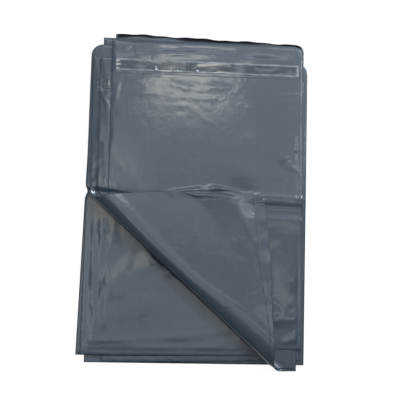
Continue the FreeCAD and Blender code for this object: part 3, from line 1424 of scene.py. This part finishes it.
        flat = self.fold.wrapped(angle, beyond, v, height)
        slipped = self.slip * smooth(beyond / self.SLIP_OVER)
        over = (flat[..., 0] + slipped, flat[..., 1])
        top = self.relief.bags + 1
        lie = self.relief.under(top, *over) - (top - 1) * self.size.pitch
        rise = smooth(beyond / self.fold.settle) * lie
        rise = rise + smooth(beyond / self.WRINKLED_FROM) * self.corner_rise(*over)
        slope = math.tan(self.fold.wrap - math.pi)
        sunk = self.SLIP_SINK * slope * self.fold.along[1] * slipped
        outside = self.fold.wrapped(angle, beyond, v, height - rise)
        inside = self.fold.wrapped(angle, beyond, v, height - rise + self.size.film)
        for face in (outside, inside):
            drawn = smooth(2 * angle / self.fold.wrap - 1)
            drawn = drawn * smooth((-self.DRAWN_FROM - face[..., 0]) / self.DRAWN_OVER + 1)
            upper = smooth((face[..., 1] + self.UPPER_PART) / self.UPPER_PART)
            face[..., 1] += self.DRAWN_UP * drawn * upper
            face[..., 0] += slipped
            face[..., 2] += sunk
        return closed_film(name, inside, outside, {"weld": self.weld_and_shade_mark(bag_x, bag_y)})

    def build_corner(self, finishes: Finishes) -> None:
        """Builds the turned corner of both films, bending at the roll.

        Args:
            finishes: The pack's materials.
        """
        left, right, point = self.corner_edges()
        area = self.corner_area()
        for layer in Layer:
            piece = self.turned(layer, self.name(f"corner_{layer.value}"))
            finishes.dress(piece, "film")
            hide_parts(self.name("corner"), self.name("roll"))
            start, end = self.bend_points()
            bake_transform(piece)

    def bend_points(self) -> tuple[tuple, tuple]:
        """Where the bend of the turned corner starts and ends.

        The direction between the two leans inwards, so that the low tip of the corner counts as
        past the bend although it comes down beside the roll's start.

        Returns:
            The start and the end in metres.
        """
        lean = 0.5
        low = self.level + self.size.film
        high = 2 * self.fold.axis_height - low
        x, y = self.fold.origin
        out = self.fold.to_plan(np.array(-lean), np.array(0.0))
        step = np.array([out[0] - x, out[1] - y, 1.0])
        step = step / (step @ step) * (high - low)
        start = np.array([x, y, low])
        return tuple(start * MM), tuple((start + step) * MM)

    def build(self, finishes: Finishes, bead: WeldBead, tree: bpy.types.NodeTree) -> None:
        """Builds and dresses every piece of the bag, its corner included."""
        super().build(finishes, bead, tree)
        self.build_corner(finishes)


@dataclass
class TopBag(FoldedBag):
    """The top bag: its adhesive goes with the lip, and its liner comes off."""

    lip_body: str = "top_lip"
    liner_body: str = "top_liner"
    bend_before: float = 2.5  # where the lip starts to bend, before the mouth
    bend_after: float = 3.8  # and where it has bent, past the mouth

    def liner_ripple(self, x: Array, y: Array) -> Array:
        """The liner's ripples: a kink near its middle and a few blisters.

        Args:
            x: The points' X.
            y: The points' Y.

        Returns:
            A height in millimetres for each point.
        """
        total = np.zeros_like(x)
        for at, height, width in LINER_KINKS:
            total = total + height * np.exp(-(((x - at) / width) ** 2))
        for at, off, height, width in LINER_BLISTERS:
            across = (y - self.size.strip_middle - off) / width
            total = total + height * np.exp(-(((x - at) / width) ** 2 + across**2))
        return total

    def strip_bodies(self) -> dict[str, str]:
        """The adhesive goes with the lip, and the liner comes off it."""
        return {"adhesive": self.lip_body, "liner": self.liner_body}

    def hold(self, piece: bpy.types.Object, node: str) -> None:
        """Holds a film; the back film stands for the lip too.

        Args:
            piece: The film.
            node: The CAD node that it stands for.
        """
        if node != "back_film":
            super().hold(piece, node)
            return
        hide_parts(self.name("back_film"), self.name("lip"))
        for past in (-self.bend_before, self.bend_after):
            x, y = self.to_plan(0.0, self.size.mouth + past)
        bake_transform(piece)


# --------------------------------------------------------------------------------------------
# The pack
# --------------------------------------------------------------------------------------------

# Wrinkles that one would point at, by the bag that makes them. They show through all above it.
WRINKLES: dict[int, tuple[Wrinkle, ...]] = {
    2: (Swell((0.0, 60.0), (150.0, 110.0), 0.5),),
    6: (Swell((60.0, -90.0), (70.0, 90.0), 0.5, -20.0),),
    8: (
        Ridge((-121.0, 10.0), (-116.0, -178.0), 0.4, 3.0, 2.2),
        Ridge((-112.0, 0.0), (-107.0, -170.0), 0.45, 2.6, 2.6),
        Ridge((-103.0, -30.0), (-99.0, -160.0), 0.45, 2.4, 3.0),
        Ridge((-118.0, -16.0), (-84.0, -64.0), 0.9, 6.0, 10.0, 0.35),
        Ridge((-104.0, -104.0), (-20.0, -60.0), 1.0, 12.0, 9.0, 0.4),
        Ridge((-66.0, -80.0), (-82.0, -128.0), 0.9, 5.0, 7.0, 0.4),
        Ridge((-40.0, -100.0), (-64.0, -150.0), 0.8, 8.0, 6.0, 0.4),
        Ridge((-115.0, -128.0), (-98.0, -158.0), 0.4, 4.0, 4.0, 0.4),
        Swell((-60.0, -120.0), (45.0, 30.0), 0.9, 20.0),
    ),
    11: (
        Ridge((-120.5, 152.0), (-103.0, 120.0), 0.8, 1.4, 2.0),
        Ridge((-120.0, 148.0), (-100.0, 141.0), 0.6, 1.4, 1.6),
        Ridge((-121.0, 168.0), (-119.0, 146.0), 0.7, 1.4, 1.6),
        Ridge((-123.0, 60.0), (-121.0, 34.0), 0.9, 2.6, 3.4),
    ),
    12: (
        Ridge((-34.0, 16.0), (24.0, 25.0), 1.2, 2.2, 3.0),
        Ridge((-6.0, 18.0), (50.0, 25.0), 1.0, 2.0, 2.6),
        Ridge((18.0, 27.0), (74.0, 18.0), 1.2, 2.2, 2.8),
        Ridge((-75.0, 212.0), (110.0, 212.6), 0.5, 2.4, 2.6, 0.1),
        Ridge((-60.0, 200.0), (20.0, 199.0), 0.5, 4.0, 3.0),
        Ridge((108.0, 147.0), (150.0, 150.0), 0.5, 3.0, 2.4),
        Ridge((114.0, 140.0), (150.0, 142.0), 0.4, 2.6, 2.6),
        Ridge((112.0, 54.0), (146.0, 86.0), 0.55, 7.0, 3.0),
        Ridge((112.0, 74.0), (143.0, 46.0), 0.55, 3.0, 7.0),
        Ridge((96.0, -50.0), (104.0, -112.0), 1.3, 9.0, 12.0, 0.35),
        Ridge((128.0, -40.0), (134.0, -112.0), 0.9, 7.0, 10.0, 0.35),
        Ridge((103.0, -92.0), (104.5, -116.0), 1.0, 2.0, 2.4),
        Ridge((104.0, -116.0), (128.0, -136.0), 0.9, 5.0, 7.0),
        Ridge((104.0, -142.0), (146.0, -140.0), 1.3, 7.0, 6.0),
        Ridge((116.0, -180.0), (144.0, -158.0), 1.0, 5.0, 6.0),
        Ridge((130.0, -182.0), (144.0, -170.0), 1.0, 2.6, 3.0),
    ),
}

STREAKS: tuple[StreakZone, ...] = (
    StreakZone(12, (-95.0, 130.0), (186.0, 214.0), 30, (25.0, 80.0), (1.8, 4.5), 0.28, -1.5),
    StreakZone(12, (-80.0, 120.0), (130.0, 176.0), 46, (25.0, 75.0), (1.8, 5.5), 0.21, -2.0),
    StreakZone(12, (110.0, 145.0), (40.0, 150.0), 12, (14.0, 40.0), (1.6, 4.0), 0.45, -12.0, 15.0),
    StreakZone(12, (60.0, 130.0), (30.0, 100.0), 8, (40.0, 90.0), (9.0, 20.0), 0.5, -30.0, 25.0),
    StreakZone(11, (-112.0, -96.0), (40.0, 190.0), 14, (20.0, 70.0), (1.6, 4.0), 0.4, 90.0),
    StreakZone(8, (-124.0, -92.0), (-175.0, -20.0), 24, (20.0, 70.0), (1.6, 3.6), 0.35, 88.0),
    StreakZone(8, (-110.0, 60.0), (-188.0, -150.0), 20, (50.0, 120.0), (2.0, 5.0), 0.3, 1.0, 2.0),
    StreakZone(8, (-100.0, -10.0), (-150.0, -50.0), 14, (40.0, 90.0), (6.0, 14.0), 0.8, 60.0, 30.0),
    StreakZone(8, (-126.0, -104.0), (40.0, 180.0), 12, (15.0, 60.0), (1.6, 4.0), 0.35, 91.0),
    StreakZone(8, (-131.0, -112.0), (24.0, 74.0), 16, (6.0, 18.0), (1.4, 3.2), 0.32, 80.0, 30.0),
    StreakZone(12, (92.0, 140.0), (-160.0, -30.0), 14, (20.0, 60.0), (5.0, 12.0), 0.6, -60.0, 25.0),
)

# Wrinkles of the folded corners, by bag, over where they lie when turned over.
CORNER_WRINKLES: dict[int, tuple[Wrinkle, ...]] = {
    9: (
        Facets(((6.7, 6.0, 46.0, 0.13), (92.0, 12.0, 184.0, 0.127), (40.0, 26.0, 275.0, 0.2))),
        Ridge((54.0, -36.0), (57.0, -54.0), 0.5, 1.8, 1.8, 0.4),
        Ridge((58.0, -38.0), (60.5, -54.0), 0.4, 1.6, 1.6, 0.4),
        Ridge((78.0, -58.0), (88.0, -84.0), 0.4, 2.2, 2.8, 0.4),
        Ridge((84.0, -60.0), (91.0, -92.0), 0.35, 1.8, 2.2, 0.4),
        Ridge((-40.0, 20.0), (-18.0, 6.0), 1.2, 2.4, 2.6, 0.4),
        Ridge((-24.0, 18.0), (24.0, 7.0), 1.3, 2.2, 3.0, 0.4),
        Ridge((-2.0, 12.0), (46.0, 12.0), 1.1, 2.0, 2.4, 0.4),
        Ridge((24.0, 17.0), (62.0, 9.0), 1.1, 2.0, 2.6, 0.4),
    ),
}

# By bag: the lip corner that is round and its radius, how wide a band at the lip's edge is painted dark as shade,
# how dark the weld's scorch and the painted edge shade are, and how far the folded corner has slipped to the
# right. Lengths in mm.
SOFT_CORNERS: dict[int, tuple[LipCorner, float]] = {
    2: (LipCorner.LEFT, 15.0),
    3: (LipCorner.RIGHT, 12.0),
    4: (LipCorner.RIGHT, 16.0),
    8: (LipCorner.LEFT, 15.0),
    12: (LipCorner.RIGHT, 12.0),
}
# the width of bag 3's band of painted shade along its lip's free edge, in mm
LIP_SHADE_BANDS = {3: 4.6}
WELD_SCORCH_AND_SHADE = {8: 0.5, 9: 0.6, 10: 0.4, 11: 0.35, 12: 0.35}
CORNER_SLIPS = {10: 12.0, 11: 8.0}

# Where the top bag's liner stands off its adhesive: X, height and width of each kink, and X,
# distance from its middle line, height and width of each blister.
LINER_KINKS = ((-26.5, 0.45, 1.2), (-22.0, 0.45, 1.2))
LINER_BLISTERS = (
    (-68.0, -5.2, 1.2, 1.9),
    (-68.5, -1.6, 0.9, 1.3),
    (-44.0, -6.4, 0.8, 1.4),
    (-40.0, -5.9, 1.0, 1.5),
    (-36.0, -6.2, 0.9, 1.5),
    (-17.5, 2.5, 0.8, 1.1),
    (-17.2, -0.8, 0.9, 1.3),
    (-14.5, -4.8, 1.2, 1.9),
    (-5.0, -6.5, 0.8, 1.4),
    (30.0, 6.5, 0.6, 1.6),
    (66.0, 6.5, 0.6, 1.6),
)


@dataclass
class Pack:
    """The whole pack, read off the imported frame."""

    size: BagSize
    relief: Relief
    roll_radius: float = 7.0
    roll_spread: float = 8.0
    corner_clearance: float = 0.35
    fine_grid: float = 2.5
    coarse_grid: float = 4.0
    first_fine: int = 8
    bags: list[Bag] = field(default_factory=list)

    def place_of(self, number: int) -> dict:
        """Where a bag lies, worked out from its liner's node.

        Args:
            number: The bag's number, from 1 at the bottom.

        Returns:
            Its centre, its turn in radians and its level, by name.
        """
        mesh = frame["nodes"][f"bag_{number:02d}_liner"].data
        points = np.array([v.co for v in mesh.vertices], float) / MM
        low, high = points.min(0), points.max(0)
        middle = (low + high) / 2
        spread = (points - middle)[:, :2]
        across = np.linalg.eigh(spread.T @ spread)[1][:, -1]
        across = across * np.sign(across[0])
        turn = math.atan2(across[1], across[0])
        back = self.size.strip_middle
        centre = (middle[0] + back * math.sin(turn), middle[1] - back * math.cos(turn))
        level = low[2] - self.size.film - self.size.adhesive_film
        return {"centre": centre, "turn": turn, "level": level}

    def fold_line(self) -> FoldLine:
        """The roll's line, from the joint that unfolds the corner.

        Returns:
            The line, before its wrap angle is set.
        """
        joint = next(j for j in frame["joints"] if j["name"] == "unfold_corner")
        origin = (joint["pos_m"][0] / MM, joint["pos_m"][1] / MM)
        along = (joint["axis"][0], joint["axis"][1])
        return FoldLine(origin, along, joint["pos_m"][2] / MM, self.roll_spread)

    def set_wrap(self, fold: FoldLine, folded: list[FoldedBag]) -> None:
        """Turns the roll on until the longest corner comes down to rest on the pack.

        Args:
            fold: The roll's line, which gets its wrap angle.
            folded: The folded bags.
        """
        slopes = []
        for bag in folded:
            rolled = fold.rolled_length(bag.neutral, np.array(math.pi))
            reach = bag.corner_edges()[2][0] - float(rolled)
            inner = fold.axis_height - bag.level - self.size.thickness
            slopes.append((self.roll_radius + inner - self.corner_clearance) / reach)
        fold.wrap = math.pi + math.asin(min(slopes))

    def lay(self) -> None:
        """Makes every bag's object, from the bottom up."""
        bodies = frame["record"]["behaviour"]["bodies"]
        body_of = {node: body for body, nodes in bodies.items() for node in nodes}
        fold = self.fold_line()
        self.relief.roll = fold
        for number in range(1, self.relief.bags + 1):
            body = body_of[f"bag_{number:02d}_front_film"]
            given = self.place_of(number) | {
                "number": number,
                "body": body,
                "size": self.size,
                "relief": self.relief,
                "grid": self.fine_grid if number >= self.first_fine else self.coarse_grid,
                "soft_corner": SOFT_CORNERS.get(number),
                "lip_shade_band": LIP_SHADE_BANDS.get(number, 0.0),
                "scorch_and_shade": WELD_SCORCH_AND_SHADE.get(number, 1.0),
                "rim_haze_and_highlight": 1.0 if number == self.relief.bags else Bag.rim_haze_and_highlight,
            }
            is_folded = body == "folded_sheaf"
            half = (self.size.width / 2, self.size.length / 2)
            self.relief.footprints[number] = Footprint(
                given["centre"], given["turn"], half, fold if is_folded else None
            )
            if not is_folded:
                self.bags.append(Bag(**given))
                continue
            kind = TopBag if number == self.relief.bags else FoldedBag
            wrinkles, slip = CORNER_WRINKLES.get(number, ()), CORNER_SLIPS.get(number, 0.0)
            self.bags.append(kind(**given, fold=fold, corner_wrinkles=wrinkles, slip=slip))
        folded = [bag for bag in self.bags if isinstance(bag, FoldedBag)]
        for place, bag in enumerate(folded):
            bag.inner = tuple(folded[place + 1 :])
        self.set_wrap(fold, folded)

    def build(self, finishes: Finishes) -> None:
        """Builds every bag.

        Args:
            finishes: The pack's materials.
        """
        bead = WeldBead()
        tree = bead.tree(finishes.film)
        for bag in self.bags:
            bag.build(finishes, bead, tree)


# --------------------------------------------------------------------------------------------
# The studio
# --------------------------------------------------------------------------------------------


@dataclass(frozen=True)
class Studio:
    """A plain pale floor, soft light and the camera above the pack."""

    floor_side: float = 6.0
    floor_colour: str = "#f4f5f6"
    floor_drop: float = 0.0003  # how far it lies under the pack, in metres
    floor_glow: float = 0.85
    floor_white: float = 1.1
    bright_side: Triple = (0.2, 0.5, 0.9)
    daylight: Triple = (0.93, 1.0, 1.1)
    lamplight: Triple = (1.02, 1.0, 0.9)
    dim_from: float = 0.45
    dim_level: float = 0.06
    bright_level: float = 0.6
    look_at: Triple = (0.01406, 0.00909, 0.0)
    lean_right: float = 4.866
    lean_near: float = 6.166
    roll: float = 0.887
    distance: float = 0.8415
    lens: float = 58.75
    sensor: float = 36.0
    clip: Pair = (0.05, 20.0)

    def floor(self) -> None:
        """A pale floor that shows white and keeps the pack's shadow."""
        mesh = bpy.data.meshes.new("floor")
        s = self.floor_side / 2
        mesh.from_pydata([(-s, -s, 0), (s, -s, 0), (s, s, 0), (-s, s, 0)], [], [(0, 1, 2, 3)])
        floor = linked("floor", mesh)
        floor.location.z = -self.floor_drop
        material = bpy.data.materials.new("pale_studio_paper")
        material.use_nodes = True
        tree = material.node_tree
        tree.nodes.clear()
        matt = add_node(tree, "ShaderNodeBsdfDiffuse", {"Color": linear_rgb(self.floor_colour)})
        white = {"Color": (1, 1, 1, 1), "Strength": self.floor_white}
        white = add_node(tree, "ShaderNodeEmission", white)
        path = add_node(tree, "ShaderNodeLightPath").outputs
        seen = path["Is Camera Ray"]
        for ray in ("Is Glossy Ray", "Is Transmission Ray"):
            seen = add_node(tree, "ShaderNodeMath", {0: seen, 1: path[ray]}, operation="MAXIMUM")
        glow = {0: seen, 1: self.floor_glow}
        share = add_node(tree, "ShaderNodeMath", glow, operation="MULTIPLY")
        mixed = add_node(tree, "ShaderNodeMixShader", {0: share, 1: matt, 2: white})
        add_node(tree, "ShaderNodeOutputMaterial", {"Surface": mixed})
        mesh.materials.append(material)

    def world(self) -> None:
        """A pale surround, brightest overhead and to the far right, and seen as white."""
        world = bpy.data.worlds.new("studio")
        bpy.context.scene.world = world
        world.use_nodes = True
        tree = world.node_tree
        tree.nodes.clear()
        way = add_node(tree, "ShaderNodeTexCoord").outputs["Generated"]
        near = {0: way, 1: tuple(Vector(self.bright_side).normalized())}
        near = add_node(tree, "ShaderNodeVectorMath", near, operation="DOT_PRODUCT")
        level = {"Value": near, "From Min": self.dim_from, "From Max": 1.0}
        level |= {"To Min": self.dim_level, "To Max": self.bright_level}
        level = add_node(tree, "ShaderNodeMapRange", level, interpolation_type="SMOOTHSTEP")
        path = add_node(tree, "ShaderNodeLightPath").outputs
        seen = {"Factor": path["Is Camera Ray"], "A": level, "B": 1.0}
        light = {"Color": (1, 1, 1, 1), "Strength": add_node(tree, "ShaderNodeMix", seen)}
        light = add_node(tree, "ShaderNodeBackground", light)
        add_node(tree, "ShaderNodeOutputWorld", {"Surface": light})

    def lamp(
        self,
        name: str,
        place: Triple,
        aim: Triple,
        size: Pair,
        watts: float,
        colour: Triple,
    ) -> None:
        """A soft rectangular lamp.

        Args:
            name: The lamp's name.
            place: Where it hangs, in metres.
            aim: The point that it faces.
            size: Its two sides, in metres.
            watts: Its power.
            colour: The colour of its light.
        """
        data = bpy.data.lights.new(name, "AREA")
        data.shape = "RECTANGLE"
        data.size, data.size_y = size
        data.energy = watts
        data.color = colour
        lamp = linked(name, data)
        lamp.location = place
        way = Vector(aim) - Vector(place)
        lamp.rotation_euler = way.to_track_quat("-Z", "Y").to_euler()

    def lamps(self) -> None:
        """A key lamp from the far right, and softer lamps overhead that show in the film."""
        self.lamp("key", (1.15, 0.75, 0.9), (0.0, 0.0, 0.0), (1.0, 1.0), 13.0, self.daylight)
        for name, colour, place, size, watts in (
            ("overhead", self.daylight, (0.155, 0.39, 1.02), (0.81, 0.52), 0.88),
            ("glow", self.lamplight, (0.065, 0.445, 1.0), (0.22, 0.085), 0.42),
            ("far_strip", self.daylight, (0.15, 0.71, 1.0), (0.9, 0.1), 0.85),
            ("left_strip", self.daylight, (-0.37, -0.12, 1.0), (0.1, 0.45), 0.3),
            ("near", self.daylight, (-0.03, -0.21, 1.0), (0.54, 0.42), 0.52),
            ("near_left", self.lamplight, (-0.2, 0.08, 1.0), (0.2, 0.36), 0.36),
            ("near_right", self.lamplight, (0.39, -0.12, 1.0), (0.32, 0.16), 0.19),
            ("facet_glow", self.lamplight, (0.625, 0.305, 1.0), (0.08, 0.1), 0.13),
            ("spark", self.daylight, (0.9, 0.62, 1.0), (0.04, 0.04), 4.6),
        ):
            below = (place[0], place[1], 0.0)
            self.lamp(name, place, below, size, watts, colour)

    def camera(self) -> None:
        """The camera, nearly overhead and leaning a little to the near left."""
        right, near = math.radians(self.lean_right), math.radians(self.lean_near)
        back = Vector(
            (-math.sin(right), -math.sin(near) * math.cos(right), math.cos(near) * math.cos(right))
        ).normalized()
        side = Vector((0, 1, 0)).cross(back).normalized()
        up = back.cross(side)
        turn = math.radians(self.roll)
        x = side * math.cos(turn) + up * math.sin(turn)
        y = up * math.cos(turn) - side * math.sin(turn)
        data = bpy.data.cameras.new("camera")
        data.lens = self.lens
        data.sensor_width = self.sensor
        data.clip_start, data.clip_end = self.clip
        camera = linked("camera", data)
        place = Vector(self.look_at) + back * self.distance
        turned = Matrix((x, y, back)).transposed().to_4x4()
        camera.matrix_world = Matrix.Translation(place) @ turned
        bpy.context.scene.camera = camera

    def build(self) -> None:
        """Builds the studio."""
        self.floor()
        self.world()
        self.lamps()
        self.camera()
        scene = bpy.context.scene
        scene.view_settings.view_transform = "Standard"


def main() -> None:
    """Builds the pack and its studio."""
    logging.basicConfig(level=logging.INFO, format="%(message)s")
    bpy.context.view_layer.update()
    Studio().build()
    finishes = Finishes.build()
    numbers = [node for node in frame["nodes"] if node.endswith("_front_film")]
    size = BagSize()
    relief = Relief(len(numbers), size.pitch, CrossCrease(), WRINKLES, STREAKS)
    pack = Pack(size, relief)
    pack.lay()
    pack.build(finishes)
    bpy.context.view_layer.update()


if __name__ == "__main__":
    main()
